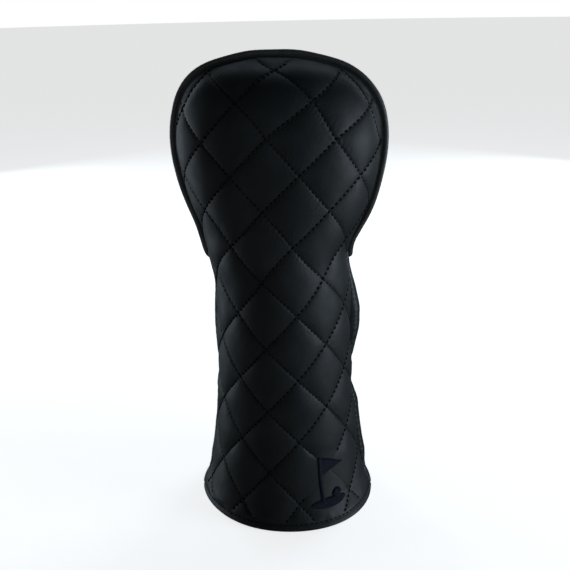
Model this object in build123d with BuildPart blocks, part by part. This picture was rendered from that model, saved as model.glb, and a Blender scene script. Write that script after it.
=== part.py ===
"""Driver head cover for a golf club: a padded leather sock, with a pocket for the club head and a
flared sleeve for the shaft. It stands on its hem, mouth down and pocket up.

Frame: +Z up, the quilted front faces -Y, origin at the centre of the mouth, on the plane that the
hem stands on. All sizes are in millimetres.

The outside is one closed shape, body(inset), lofted through level sections. Every layer of the wall
is the difference of two such shapes, so the layers nest face to face. The shells are then divided
along the seams into the panels that the cover is sewn from.
"""

import os
from functools import cache
from math import cos, radians, sin, sqrt

from build123d import *

# The outside.
TOTAL_HEIGHT = 328.0
HEM_RADIUS = 64.0
ELASTIC_HEIGHT = 95.0  # middle of the elastic that gathers the sleeve
NECK_HEIGHT = 182.0  # where the head panel ends at the back
SEAM_Y = -4.0  # the side seams lie in this plane, just in front of the middle
SEAM_CORNER = 20.0  # radius with which the head seam turns from the sides to the back

# The wall, from outside to inside.
LEATHER = 1.4
WADDING = 4.0
LINING = 2.6
WADDING_INSIDE = LEATHER + WADDING
WALL = WADDING_INSIDE + LINING

# Piping in the seam round the back of the head.
PIPING_RADIUS = 2.2
PIPING_CORD_RADIUS = 1.5
PIPING_STAND_OFF = 3.0  # from the leather to the middle of the cord
PIPING_ALLOWANCE = 1.0  # thickness of the piping's two sewn edges, in the seam
PIPING_ALLOWANCE_PROUD = 0.5  # how far they stand out of the seam, towards the cord
PIPING_GAP = 1.2  # between its two ends, which meet at the middle of the back
PIPING_SHARES = [0, 0.05, 0.29, 0.42, 0.64, 0.84, 0.95]  # places down the side that its arcs join
PIPING_BACK_CENTRE = 7.8  # the arc across the back is centred this far in front of the middle
PIPING_BACK_ANGLE = 50.0  # degrees round the back that its last arc covers

# Elastic, between the wadding and the lining at the back of the sleeve.
ELASTIC_WIDTH = 24.0
ELASTIC_THICKNESS = 1.2
ELASTIC_STITCH_LINES = 3
ELASTIC_STITCH_SPACING = 8.0

# Hem: a leather facing is folded round the lower edge and up the inside.
FACING_HEIGHT = 22.0
FACING = 1.4
HEM_STITCH_HEIGHT = 4.0

# Quilting: diamonds in rows, measured along the leather.
QUILT_HALF_WIDTH = 21.9
QUILT_HALF_HEIGHT = 23.4
QUILT_FIRST_ROW = -3.1  # length up the front from the hem to the row of crossings numbered 0
QUILT_LINES = 12  # in each of the two directions
QUILT_RISING_START = -18.5  # where the first line of each direction meets the front's centre line,
QUILT_FALLING_START = -4.5  # in half diamonds, below or above the row numbered 0
QUILT_STEP = 2.0
QUILT_FOOT = 6.0  # the lines start this high, above the hem's topstitching
QUILT_LEVEL_STEP = 15.0
QUILT_EDGE = 0.93  # the lines end at this share of the way round to the side, at the seam

THREAD_WIDTH = 0.9
THREAD_PROUD = 0.4

# Embroidered emblem: a plain golf flag standing in a hole, on the right of the front.
EMBLEM_ANGLE = 33.0  # degrees round the sleeve from the centre of the front
EMBLEM_BOTTOM = 11.0
EMBLEM_HEIGHT = 38.0
EMBLEM_WIDTH = 30.0
EMBLEM_PROUD = 0.9
EMBLEM_BACKING = 0.5
HOLE_WIDTH = 0.9 * EMBLEM_WIDTH
HOLE_HEIGHT = 5.0
POLE_WIDTH = 1.8
POLE_X = -3.0  # from the middle of the emblem
PENNANT_LENGTH = 0.55 * EMBLEM_WIDTH
PENNANT_HEIGHT = 12.0
BALL_RADIUS = 2.8
BALL_X = 7.0
BALL_SUNK = 1.0  # how far the ball's foot is below the hole's upper edge

FAR = 400.0  # beyond the cover in every direction
BELOW = -6.0  # the level sections start here and are trimmed at the ground
LEATHER_TOP = TOTAL_HEIGHT - PIPING_RADIUS - PIPING_STAND_OFF
HEAD_BASE = 198.0  # above this level, an inset brings the levels down as well

ROUND = 0.552  # fullness of a section's corners: this is an ellipse, more is squarer

# Level sections of the leather: height, half width, depth to the front, depth to the back, fullness.
SECTIONS = [
    (BELOW, HEM_RADIUS + 2.4, HEM_RADIUS + 2.4, HEM_RADIUS + 2.4, ROUND),
    (0.0, HEM_RADIUS, HEM_RADIUS, HEM_RADIUS, ROUND),
    (14.0, 59.8, 58.8, 58.0, ROUND),
    (32.0, 56.2, 54.8, 53.2, ROUND),
    (62.0, 52.0, 52.2, 48.8, ROUND),
    (102.0, 49.4, 51.0, 45.4, ROUND),
    (138.0, 48.4, 50.4, 45.2, 0.555),
    (172.0, 48.2, 49.2, 45.0, 0.565),
    (198.0, 50.6, 47.6, 43.2, 0.585),
    (222.0, 59.0, 46.4, 41.0, 0.61),
    (246.0, 65.4, 45.2, 38.6, 0.63),
    (268.0, 68.4, 43.8, 35.8, 0.64),
    (290.0, 65.6, 40.4, 31.8, 0.64),
    (305.0, 58.4, 35.0, 27.0, 0.63),
    (314.8, 46.4, 26.6, 20.6, 0.61),
    (320.3, 28.6, 15.6, 12.2, 0.58),
]


def inset_level(height, inset):
    """The height of a level section once the top has come down by the inset."""
    share = max(0.0, (height - HEAD_BASE) / (LEATHER_TOP - HEAD_BASE))
    return height - inset * share


@cache
def body(inset):
    """The closed shape of the cover, with its outside moved in by inset."""
    with BuildPart(mode=Mode.PRIVATE) as shape:
        for height, half_width, front, back, fullness in SECTIONS:
            w = half_width - inset
            f = front - inset
            b = back - inset
            with BuildSketch(Plane.XY.offset(inset_level(height, inset))):
                with BuildLine():
                    Bezier((w, 0), (w, -fullness * f), (fullness * w, -f), (0, -f))
                    Bezier((0, -f), (-fullness * w, -f), (-w, -fullness * f), (-w, 0))
                    Bezier((-w, 0), (-w, fullness * b), (-fullness * w, b), (0, b))
                    Bezier((0, b), (fullness * w, b), (w, fullness * b), (w, 0))
                make_face()
        loft(sections=[*shape.pending_faces, Vertex(0, 0, LEATHER_TOP - inset)])
        split(bisect_by=Plane.XY, keep=Keep.TOP)
    return shape.part


@cache
def layer(outer, inner):
    """The shell between two insets, all round and open at the mouth."""
    with BuildPart(mode=Mode.PRIVATE) as shell:
        add(body(outer))
        add(body(inner), mode=Mode.SUBTRACT)
    return shell.part


def head_back_zone(margin):
    """Everything behind and above the head seam, with the seam moved back and up by margin."""
    with BuildPart(mode=Mode.PRIVATE) as zone:
        with BuildSketch(Plane.YZ) as profile:
            with Locations((SEAM_Y + margin, NECK_HEIGHT + margin)):
                Rectangle(FAR, FAR, align=(Align.MIN, Align.MIN))
            corner = profile.vertices().sort_by(Axis.X)[:2].sort_by(Axis.Y)[0]
            fillet(corner, radius=SEAM_CORNER - margin)
        extrude(amount=FAR, both=True)
    return zone.part


def level_zone(low, high):
    """Everything between two levels."""
    with BuildPart(mode=Mode.PRIVATE) as zone:
        with BuildSketch(Plane.XY.offset(low)):
            Rectangle(FAR, FAR)
        extrude(amount=high - low)
    return zone.part


# The regions that the seams divide the cover into.
with BuildPart() as front_half:
    with BuildSketch(Plane.XZ.offset(-SEAM_Y)):
        Rectangle(FAR, 2 * FAR)
    extrude(amount=FAR)

head_back = head_back_zone(PIPING_ALLOWANCE / 2)
head_back_and_seam = head_back_zone(-PIPING_ALLOWANCE / 2)

with BuildPart() as front_zone:
    add(front_half)
    add(head_back_and_seam, mode=Mode.SUBTRACT)

with BuildPart() as sleeve_back_zone:
    with BuildSketch(Plane.XZ.offset(-SEAM_Y)):
        Rectangle(FAR, 2 * FAR)
    extrude(amount=-FAR)
    add(head_back_and_seam, mode=Mode.SUBTRACT)

with BuildPart() as head_seam_zone:
    add(head_back_and_seam)
    add(head_back, mode=Mode.SUBTRACT)

elastic_zone = level_zone(ELASTIC_HEIGHT - ELASTIC_WIDTH / 2, ELASTIC_HEIGHT + ELASTIC_WIDTH / 2)
above_facing = level_zone(FACING_HEIGHT, FAR)
above_fold = level_zone(FACING, FAR)

outside = body(0)
leather_shell = layer(0, LEATHER)
wadding_shell = layer(LEATHER, WADDING_INSIDE)
lining_shell = layer(WADDING_INSIDE, WALL)
thread_shell = layer(-THREAD_PROUD, 0)


# Emblem, drawn on an upright plane that faces the way its place on the sleeve does.
def emblem_plane():
    """The emblem's plane: its local X runs to the right and its local Y up."""
    turn = radians(EMBLEM_ANGLE)
    return Plane(
        origin=(0, 0, EMBLEM_BOTTOM), x_dir=(cos(turn), sin(turn), 0), z_dir=(sin(turn), -cos(turn), 0)
    )


with BuildPart() as emblem_prism:
    with BuildSketch(emblem_plane()):
        with Locations((0, HOLE_HEIGHT / 2)):
            Ellipse(HOLE_WIDTH / 2, HOLE_HEIGHT / 2)
        with Locations((POLE_X, HOLE_HEIGHT / 2)):
            Rectangle(POLE_WIDTH, EMBLEM_HEIGHT - HOLE_HEIGHT / 2, align=(Align.CENTER, Align.MIN))
        with BuildLine():
            Polyline(
                (POLE_X, EMBLEM_HEIGHT),
                (POLE_X + PENNANT_LENGTH, EMBLEM_HEIGHT - PENNANT_HEIGHT / 2),
                (POLE_X, EMBLEM_HEIGHT - PENNANT_HEIGHT),
                close=True,
            )
        make_face()
        with Locations((BALL_X, HOLE_HEIGHT + BALL_RADIUS - BALL_SUNK)):
            Circle(BALL_RADIUS)
    extrude(amount=FAR)

with BuildPart() as emblem_embroidery:
    add(emblem_prism)
    add(layer(-EMBLEM_PROUD, 0), mode=Mode.INTERSECT)

with BuildPart() as emblem_backing:
    with BuildSketch(emblem_plane()):
        with Locations((0, EMBLEM_HEIGHT / 2)):
            Ellipse(EMBLEM_WIDTH / 2 + 2, EMBLEM_HEIGHT / 2 + 2)
    extrude(amount=FAR)
    add(layer(LEATHER, LEATHER + EMBLEM_BACKING), mode=Mode.INTERSECT)

# Leather panels.
with BuildPart() as front_leather:
    add(leather_shell)
    add(front_zone, mode=Mode.INTERSECT)

with BuildPart() as back_head_leather:
    add(leather_shell)
    add(head_back, mode=Mode.INTERSECT)

with BuildPart() as back_sleeve_leather:
    add(leather_shell)
    add(sleeve_back_zone, mode=Mode.INTERSECT)

# Wadding behind each panel. It stops at the fold of the hem.
with BuildPart() as front_wadding:
    add(wadding_shell)
    add(front_zone, mode=Mode.INTERSECT)
    add(above_fold, mode=Mode.INTERSECT)
    add(emblem_backing, mode=Mode.SUBTRACT)

with BuildPart() as back_head_wadding:
    add(wadding_shell)
    add(head_back, mode=Mode.INTERSECT)

with BuildPart() as neck_elastic:
    add(layer(WADDING_INSIDE - ELASTIC_THICKNESS, WADDING_INSIDE))
    add(sleeve_back_zone, mode=Mode.INTERSECT)
    add(elastic_zone, mode=Mode.INTERSECT)

with BuildPart() as back_sleeve_wadding:
    add(wadding_shell)
    add(sleeve_back_zone, mode=Mode.INTERSECT)
    add(above_fold, mode=Mode.INTERSECT)
    add(neck_elastic, mode=Mode.SUBTRACT)

# Lining, in a front and a back half. It stops at the upper edge of the facing.
with BuildPart() as front_lining:
    add(lining_shell)
    add(front_half, mode=Mode.INTERSECT)
    add(above_facing, mode=Mode.INTERSECT)

with BuildPart() as back_lining:
    add(lining_shell)
    add(front_half, mode=Mode.SUBTRACT)
    add(above_facing, mode=Mode.INTERSECT)

# Facing: a ring under the wadding, and a band up the inside.
with BuildPart() as hem_facing:
    add(layer(LEATHER, WADDING_INSIDE + FACING))
    add(level_zone(0, FACING_HEIGHT), mode=Mode.INTERSECT)
    add(wadding_shell, mode=Mode.SUBTRACT)
    with BuildPart(mode=Mode.PRIVATE) as fold:
        add(layer(LEATHER, WADDING_INSIDE))
        add(level_zone(0, FACING), mode=Mode.INTERSECT)
    add(fold)

# Stitching along the hem.
with BuildPart() as hem_stitching:
    add(level_zone(HEM_STITCH_HEIGHT - THREAD_WIDTH / 2, HEM_STITCH_HEIGHT + THREAD_WIDTH / 2))
    add(thread_shell, mode=Mode.INTERSECT)

# Rows of stitching that hold the elastic to the back of the sleeve.
with BuildPart() as elastic_stitching:
    for line in range(ELASTIC_STITCH_LINES):
        middle = ELASTIC_HEIGHT + (line - (ELASTIC_STITCH_LINES - 1) / 2) * ELASTIC_STITCH_SPACING
        add(level_zone(middle - THREAD_WIDTH / 2, middle + THREAD_WIDTH / 2))
    add(sleeve_back_zone, mode=Mode.INTERSECT)
    add(thread_shell, mode=Mode.INTERSECT)


# Piping: its middle line runs from the top, down one side in the seam's plane, round the corner and
# across the back, as arcs that run on into each other.
def side_points():
    """Points where the piping's arcs down the right side join."""
    with BuildPart(mode=Mode.PRIVATE) as block:
        add(body(-PIPING_STAND_OFF))
        add(head_back_zone(0), mode=Mode.INTERSECT)
        split(bisect_by=Plane.YZ, keep=Keep.TOP)
    side = block.faces().filter_by(GeomType.PLANE).sort_by(Axis.Y)[0]
    curve = side.edges().filter_by(GeomType.LINE, reverse=True).sort_by(Axis.X)[-1]
    top_first = (curve @ 0).Z > (curve @ 1).Z
    return [curve @ (share if top_first else 1 - share) for share in PIPING_SHARES]


def join_of_arcs(start, start_tangent, end, end_tangent):
    """The point where two arcs meet that lead from start to end with these tangents."""
    across = end - start
    turn = start_tangent + end_tangent
    a = 2 * (1 - start_tangent.dot(end_tangent))
    b = 2 * across.dot(turn)
    reach = (-b + sqrt(b * b + 4 * a * across.dot(across))) / (2 * a)
    return (start + start_tangent * reach + end - end_tangent * reach) / 2


@cache
def piping_path():
    """The piping's middle line as one wire, open by a small gap at the middle of the back."""
    back_depth = (body(-PIPING_STAND_OFF) & Plane.XY.offset(NECK_HEIGHT)).bounding_box().max.Y
    back_radius = back_depth + PIPING_BACK_CENTRE
    turn = radians(PIPING_BACK_ANGLE)
    corner_end = Vector(
        back_radius * sin(turn), back_radius * cos(turn) - PIPING_BACK_CENTRE, NECK_HEIGHT
    )
    corner_tangent = Vector(-cos(turn), sin(turn), 0)
    with BuildLine(mode=Mode.PRIVATE) as path:
        tangent = Vector(1, 0, 0)
        places = side_points()
        for start, end in zip(places, places[1:]):
            arc = TangentArc(start, end, tangent=tangent)
            tangent = arc % 1
        join = join_of_arcs(places[-1], tangent, corner_end, corner_tangent)
        first = TangentArc(places[-1], join, tangent=tangent)
        TangentArc(join, corner_end, tangent=first % 1)
        end_turn = PIPING_GAP / 2 / back_radius
        back_end = Vector(
            back_radius * sin(end_turn), back_radius * cos(end_turn) - PIPING_BACK_CENTRE, NECK_HEIGHT
        )
        TangentArc(corner_end, back_end, tangent=corner_tangent)
        mirror(about=Plane.YZ)
    return path.wire()


with BuildPart() as piping_cord:
    with BuildSketch(Plane(piping_path() @ 0, z_dir=piping_path() % 0)):
        Circle(PIPING_CORD_RADIUS)
    sweep(path=piping_path())

# The cover is a strip wrapped round the cord, and its two edges are sewn into the seam.
with BuildPart() as piping_cover:
    with BuildSketch(Plane(piping_path() @ 0, z_dir=piping_path() % 0)):
        Circle(PIPING_RADIUS)
        Circle(PIPING_CORD_RADIUS, mode=Mode.SUBTRACT)
    sweep(path=piping_path())

with BuildPart() as piping_seam_allowance:
    add(layer(-PIPING_ALLOWANCE_PROUD, WADDING_INSIDE))
    add(head_seam_zone, mode=Mode.INTERSECT)


# Quilting.
def quilt_levels():
    """Height, length up the front, and the front's right-hand curve, at each level."""
    with BuildPart(mode=Mode.PRIVATE) as quarter:
        add(outside)
        split(bisect_by=Plane.YZ, keep=Keep.TOP)
        split(bisect_by=Plane.XZ, keep=Keep.TOP)
    levels = []
    length = QUILT_FOOT
    last_middle = None
    for step in range(int((LEATHER_TOP - QUILT_FOOT) / QUILT_LEVEL_STEP) + 1):
        height = QUILT_FOOT + step * QUILT_LEVEL_STEP
        outline = (quarter.part & Plane.XY.offset(height)).edges()
        curve = outline.filter_by(GeomType.LINE, reverse=True)[0]
        middle = min((curve @ 0, curve @ 1), key=lambda end: end.X)
        if last_middle:
            length += (middle - last_middle).length
        last_middle = middle
        levels.append((height, length, curve))
    return levels


def quilt_line(levels, start, rise):
    """Points of one line of quilting, seen from the front, as x and height."""
    points = []
    for height, length, curve in levels:
        row = (length - QUILT_FIRST_ROW) / QUILT_HALF_HEIGHT
        girth = (start + rise * row) * QUILT_HALF_WIDTH
        share = abs(girth) / curve.length
        if share < QUILT_EDGE:
            from_middle = share if (curve @ 0).X < (curve @ 1).X else 1 - share
            x = (curve @ from_middle).X
            points.append((x if girth > 0 else -x, height))
    return points


def quilt_strips(first, rise):
    """A flat sketch of every line of quilting in one direction, as seen from the front."""
    with BuildSketch(Plane.XZ, mode=Mode.PRIVATE) as strips:
        for line in range(QUILT_LINES):
            points = quilt_line(LEVELS, first + line * QUILT_STEP, rise)
            if len(points) > 2:
                with BuildLine() as stroke:
                    Polyline(*points)
                trace(stroke.line, line_width=THREAD_WIDTH)
    return strips.sketch


LEVELS = quilt_levels()
rising_strips = quilt_strips(QUILT_RISING_START, 1)
falling_strips = quilt_strips(QUILT_FALLING_START, -1)

with BuildPart() as quilting_rising:
    with BuildSketch(Plane.XZ):
        add(rising_strips)
    extrude(amount=FAR)
    add(emblem_prism, mode=Mode.SUBTRACT)
    add(thread_shell, mode=Mode.INTERSECT)

# Where two lines cross, the falling one is cut, so that the threads don't share their space.
with BuildPart() as quilting_falling:
    with BuildSketch(Plane.XZ):
        add(falling_strips)
        add(rising_strips, mode=Mode.SUBTRACT)
    extrude(amount=FAR)
    add(emblem_prism, mode=Mode.SUBTRACT)
    add(thread_shell, mode=Mode.INTERSECT)

PIECES = {
    "front_leather": front_leather,
    "back_head_leather": back_head_leather,
    "back_sleeve_leather": back_sleeve_leather,
    "front_wadding": front_wadding,
    "back_head_wadding": back_head_wadding,
    "back_sleeve_wadding": back_sleeve_wadding,
    "front_lining": front_lining,
    "back_lining": back_lining,
    "hem_facing": hem_facing,
    "hem_stitching": hem_stitching,
    "neck_elastic": neck_elastic,
    "elastic_stitching": elastic_stitching,
    "piping_cord": piping_cord,
    "piping_cover": piping_cover,
    "piping_seam_allowance": piping_seam_allowance,
    "quilting_rising": quilting_rising,
    "quilting_falling": quilting_falling,
    "emblem_embroidery": emblem_embroidery,
    "emblem_backing": emblem_backing,
}

os.makedirs("parts", exist_ok=True)
for name, piece in PIECES.items():
    piece.part.label = name
    export_step(piece.part, f"parts/{name}.step")
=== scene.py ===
"""Driver head cover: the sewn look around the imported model.

The leather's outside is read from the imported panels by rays, smoothed through a net of control
points, and made again as thick sheets that puff between the lines of quilting, roll in at the seams
and turn under at the hem. Lengths are in millimetres until a mesh is made; the frame is the part's.
"""

import math

import bpy
import numpy as np
from mathutils import Matrix, Vector
from mathutils.bvhtree import BVHTree


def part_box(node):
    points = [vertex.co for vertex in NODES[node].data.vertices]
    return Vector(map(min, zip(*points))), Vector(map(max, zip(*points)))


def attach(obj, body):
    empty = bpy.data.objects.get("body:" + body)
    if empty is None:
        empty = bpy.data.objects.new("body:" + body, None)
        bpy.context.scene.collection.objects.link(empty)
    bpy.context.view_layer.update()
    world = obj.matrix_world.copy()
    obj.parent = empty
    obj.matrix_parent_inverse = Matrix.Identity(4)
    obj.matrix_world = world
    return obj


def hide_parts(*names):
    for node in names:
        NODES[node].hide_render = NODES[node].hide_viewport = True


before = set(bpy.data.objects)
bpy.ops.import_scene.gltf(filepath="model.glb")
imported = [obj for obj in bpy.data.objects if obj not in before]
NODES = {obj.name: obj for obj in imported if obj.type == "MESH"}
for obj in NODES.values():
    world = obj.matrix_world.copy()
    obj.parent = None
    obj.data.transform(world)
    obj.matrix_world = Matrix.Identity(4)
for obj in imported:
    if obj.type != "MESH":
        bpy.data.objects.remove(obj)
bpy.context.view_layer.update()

MM = 0.001
RNG = np.random.default_rng(7)


def box_mm(node):
    low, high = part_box(node)
    return np.array(low) / MM, np.array(high) / MM


def middle_height(node):
    low, high = box_mm(node)
    return (low[2] + high[2]) / 2


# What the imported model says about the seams, the hem, the elastic and the emblem.
SEAM_Y = box_mm("front_leather")[1][1]
NECK_Z = box_mm("back_head_leather")[0][2] - 0.5
TOP_Z = box_mm("front_leather")[1][2]
HEM_STITCH_Z = middle_height("hem_stitching")
ELASTIC_Z = middle_height("neck_elastic")
ELASTIC_ROWS = [ELASTIC_Z - 8.0, ELASTIC_Z, ELASTIC_Z + 8.0]
EMBLEM_LOW = box_mm("emblem_embroidery")[0][2]
EMBLEM_HEIGHT = box_mm("emblem_embroidery")[1][2] - EMBLEM_LOW

# The seam: half its width, and the corner where it turns from the sides to the back.
HALF_SEAM = 0.8
FRONT_Y, BACK_Y = SEAM_Y - HALF_SEAM, SEAM_Y + HALF_SEAM
SEAM_CORNER = 20.0
CORNER_Y = SEAM_Y + SEAM_CORNER
CORNER_Z = NECK_Z + SEAM_CORNER

# Leather's thickness, the lining's depth below its outside, the radii of turned edges and the lowest row.
LEATHER = 1.4
LINING_DEPTH = 5.4
SEAM_ROLL = 1.7
HEM_ROLL = 1.2
FOOT_Z = 0.3

# Heights at which the shape changes.
FOLD_Z = 190.0
LEAN_Z = 194.0
SHOULDER_Z = 205.0
DOME_Z = 236.0
CROWN_Z = 285.0

# How far the neck and the crown lean to the left, and how far the smooth sleeve bulges.
NECK_LEAN, HEAD_LEAN, CROWN_LEAN = 3.1, 0.8, 2.6
UPPER_BELLY, LOWER_BELLY = 7.0, 3.4

# How far the hem flares: all round, and more or less near a turn from the front, each with its width.
FLARE = 3.2
FLARE_CHANGES = [(2.7, 0.65, 0.55), (-1.6, -1.0, 0.5), (-1.2, 1.7, 0.5)]
FLARE_Z = 17.0

# Quilting: half diamonds along the girth and up the front, and where the two families of lines run.
HALF_W = 21.9
HALF_H = 23.72
FIRST_ROW = -6.7
RISING_PHASE = 14.5
FALLING_PHASE = 13.5
LINE_GAP = 2 * HALF_W * HALF_H / math.hypot(HALF_W, HALF_H)
SLEEVE_PUFF = 1.55
HEAD_PUFF = 1.3
SUNK = 0.55
HEAD_DRIFT, CROWN_DRIFT = 6.5, 5.0
SLEEVE_SAG, HEAD_SAG = 1.5, 6.0

# Piping: its radius and its hollow's, how far it stands off the seam, and the cord's three strands.
PIPING_R = 1.85
HOLLOW_R = 1.25
PIPING_STAND_OFF = 3.2
STRAND_R = 0.56
STRAND_W = 1.22
STRAND_LAY = 9.0


# ---------------------------------------------------------------- formulas
def ease(x):
    """0 below 0, 1 above 1 and a smooth step between."""
    x = np.clip(x, 0, 1)
    return x * x * (3 - 2 * x)


def hill(x, middle, reach):
    """1 at the middle, falling away on both sides."""
    return np.exp(-(((x - middle) / reach) ** 2))


def unit(vectors):
    return vectors / np.maximum(np.linalg.norm(vectors, axis=-1, keepdims=True), 1e-12)


def blur(values, passes=1):
    """Each value but the first and the last averaged with its neighbours."""
    for _ in range(passes):
        inner = (values[:-2] + 2 * values[1:-1] + values[2:]) / 4
        values = np.concatenate([values[:1], inner, values[-1:]])
    return values


def length_along(points):
    """The length of a line of points up to each of them."""
    return np.concatenate([[0], np.cumsum(np.linalg.norm(np.diff(points, axis=0), axis=1))])


def line_at(points, length, places):
    """Points at these places on a line of points whose running length is given."""
    return np.stack([np.interp(places, length, column) for column in points.T], axis=1)


def along(points, shares):
    """Points at these shares of the length of a line of points."""
    length = length_along(points)
    if length[-1] < 1e-6:
        return np.repeat(points[:1], len(shares), axis=0)
    return line_at(points, length, shares * length[-1])


# ---------------------------------------------------------------- smooth noise with a fixed seed
NOISE_SIZE = 24
NOISE = RNG.standard_normal((NOISE_SIZE, NOISE_SIZE, NOISE_SIZE))


def noise3(points, size):
    """Smooth noise of about unit height whose lumps are about this many millimetres wide."""
    q = points / size
    cell = np.floor(q).astype(int)
    t = ease(q - cell)
    out = 0
    for corner in np.ndindex(2, 2, 2):
        weight = np.prod(np.where(corner, t, 1 - t), axis=-1)
        i, j, k = np.moveaxis((cell + corner) % NOISE_SIZE, -1, 0)
        out = out + weight * NOISE[i, j, k]
    return out


# ---------------------------------------------------------------- the outside, read from the panels
def skin_tree(*names):
    verts, faces = [], []
    for name in names:
        mesh = NODES[name].data
        base = len(verts)
        verts += [v.co / MM for v in mesh.vertices]
        faces += [[base + i for i in p.vertices] for p in mesh.polygons]
    return BVHTree.FromPolygons(verts, faces)


SKIN = skin_tree("front_leather", "back_head_leather", "back_sleeve_leather")
OUTSIDE = 300.0
FRONT, BACK = -1.0, 1.0


def cast(centre, direction, least=15.0):
    """Where a ray from outside meets the panels; no number if it slips through the seam to the far wall."""
    hit = SKIN.ray_cast(centre + direction * OUTSIDE, -direction)[0]
    if hit is None or (hit - centre).dot(direction) < least:
        return np.full(3, np.nan)
    return np.array(hit)


def fill_gaps(row):
    """A row of points with the missing ones put between their neighbours."""
    for k in range(3):
        known = ~np.isnan(row[:, k])
        row[:, k] = np.interp(np.arange(len(row)), np.flatnonzero(known), row[known, k])
    return row


def raw_half(y0, side):
    """Rows of points from the left seam to the right one: level rows, then rows fanned over the top."""
    turns = np.radians(np.linspace(-90, 90, 145))
    rows = [(z, 0.0) for z in np.arange(FOOT_Z, DOME_Z, 3.0)]
    rows += [(DOME_Z, lift) for lift in np.radians(np.linspace(0, 90, 46))]
    points = []
    for z, lift in rows:
        flat, up = math.cos(lift), math.sin(lift)
        directions = [Vector((flat * math.sin(t), side * flat * math.cos(t), up)) for t in turns]
        points.append(fill_gaps(np.array([cast(Vector((0, y0, z)), d) for d in directions])))
    return np.array(points)


def even_net(points, rows, columns):
    """The rows spread evenly up the panel and the columns evenly round it."""
    net = np.stack([along(row, np.linspace(0, 1, columns)) for row in points])
    steps = np.linalg.norm(np.diff(net, axis=0), axis=2).mean(axis=1)
    length = np.concatenate([[0], np.cumsum(steps)])
    wanted = np.linspace(0, length[-1], rows)
    even = blur(line_at(net.reshape(len(net), -1), length, wanted).reshape(rows, columns, 3))
    return blur(even.swapaxes(0, 1)).swapaxes(0, 1)


def soften_neck(net):
    """Rounds the fold between head and sleeve, which padding can't follow."""
    share = hill(net[..., 2:], FOLD_Z, 26.0)
    for _ in range(4):
        net = net + share * (blur(net) - net)
    return net


NET_ROWS, NET_COLUMNS = 72, 49
front_net = soften_neck(even_net(raw_half(FRONT_Y, FRONT), NET_ROWS, NET_COLUMNS))
back_net = soften_neck(even_net(raw_half(BACK_Y, BACK), NET_ROWS, NET_COLUMNS))


def net_at(net, a, b):
    """Positions at row a and column b of the net, both as shares from 0 to 1, by cubic pieces."""
    padded = np.concatenate([2 * net[:1] - net[1:2], net, 2 * net[-1:] - net[-2:-1]])
    left, right = 2 * padded[:, :1] - padded[:, 1:2], 2 * padded[:, -1:] - padded[:, -2:-1]
    padded = np.concatenate([left, padded, right], axis=1)

    def weights(x, count):
        x = np.clip(x, 0, 1) * (count - 1)
        cell = np.minimum(x.astype(int), count - 2)
        t = x - cell
        before = (-t + 2 * t**2 - t**3) / 2
        here = (2 - 5 * t**2 + 3 * t**3) / 2
        following = (t + 4 * t**2 - 3 * t**3) / 2
        beyond = (-(t**2) + t**3) / 2
        return cell, (before, here, following, beyond)

    row, row_weights = weights(a, net.shape[0])
    column, column_weights = weights(b, net.shape[1])
    out = 0
    for i in range(4):
        for j in range(4):
            weight = row_weights[i] * column_weights[j]
            out = out + weight[..., None] * padded[row + i, column + j]
    return out


def outward_normals(points, side):
    """Unit normals of a grid of points; where it comes to a point they are those of the last good row."""
    normal = np.cross(np.gradient(points, axis=1), np.gradient(points, axis=0)) * -side
    bad = np.linalg.norm(normal, axis=2) < 1e-7
    normal = unit(normal)
    if bad.any():
        good_row = np.flatnonzero(~bad.any(axis=1))[-1]
        normal[bad] = unit(normal[good_row].mean(axis=0))
    return normal


# ---------------------------------------------------------------- measures on the front
# Heights at which the girth is measured, closer together at the top, and turns from the front.
FINE_LEVELS = TOP_Z - np.array([2.4, 1.8, 1.3, 0.9, 0.6, 0.4])
LEVELS = np.concatenate([np.arange(0.5, TOP_Z - 3.0, 2.0), FINE_LEVELS])
TURNS = np.radians(np.linspace(-90, 90, 181))


def girth_tables():
    """For each level the girth from the middle of the front at each turn, and the length up the middle."""
    girths, middles = [], []
    middle = len(TURNS) // 2
    for z in LEVELS:
        directions = [Vector((math.sin(t), -math.cos(t), 0)) for t in TURNS]
        points = fill_gaps(np.array([cast(Vector((0, FRONT_Y, z)), d, 1.0) for d in directions]))
        length = length_along(points)
        girths.append(length - length[middle])
        middles.append(points[middle])
    return np.array(girths), LEVELS[0] + length_along(np.array(middles))


GIRTHS, LENGTHS = girth_tables()


def girth_at(points):
    """Girth from the middle of the front; near the middle of the top it is taken from x alone."""
    x, y, z = (points[..., k] for k in range(3))
    turn = np.arctan2(x, FRONT_Y - y)
    level = np.clip(np.interp(z, LEVELS, np.arange(len(LEVELS))), 0, len(LEVELS) - 1.001)
    share = np.clip((turn - TURNS[0]) / (TURNS[1] - TURNS[0]), 0, len(TURNS) - 1.001)
    i, j = level.astype(int), share.astype(int)
    f, g = level - i, share - j
    low = GIRTHS[i, j] * (1 - g) + GIRTHS[i, j + 1] * g
    high = GIRTHS[i + 1, j] * (1 - g) + GIRTHS[i + 1, j + 1] * g
    near_top = ease((z - TOP_Z + 13) / 11) * hill(x, 0, 27)
    return (low * (1 - f) + high * f) * (1 - near_top) + 1.06 * x * near_top


def quilt_coords(points):
    """Which rising and which falling line a point lies on, as numbers that are whole on the lines."""
    z = points[..., 2]
    girth = girth_at(points)
    drift = HEAD_DRIFT * ease((z - SHOULDER_Z) / 110)
    drift += CROWN_DRIFT * ease((z - 270) / 40) * (1 + np.tanh(girth / 38))
    sag = (SLEEVE_SAG + HEAD_SAG * ease((z - 200) / 100)) * (girth / 70) ** 2
    across = (girth - drift) / HALF_W
    up = (np.interp(z, LEVELS, LENGTHS) + sag - FIRST_ROW) / HALF_H
    return (up - across - RISING_PHASE) / 2, (up + across - FALLING_PHASE) / 2


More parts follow.
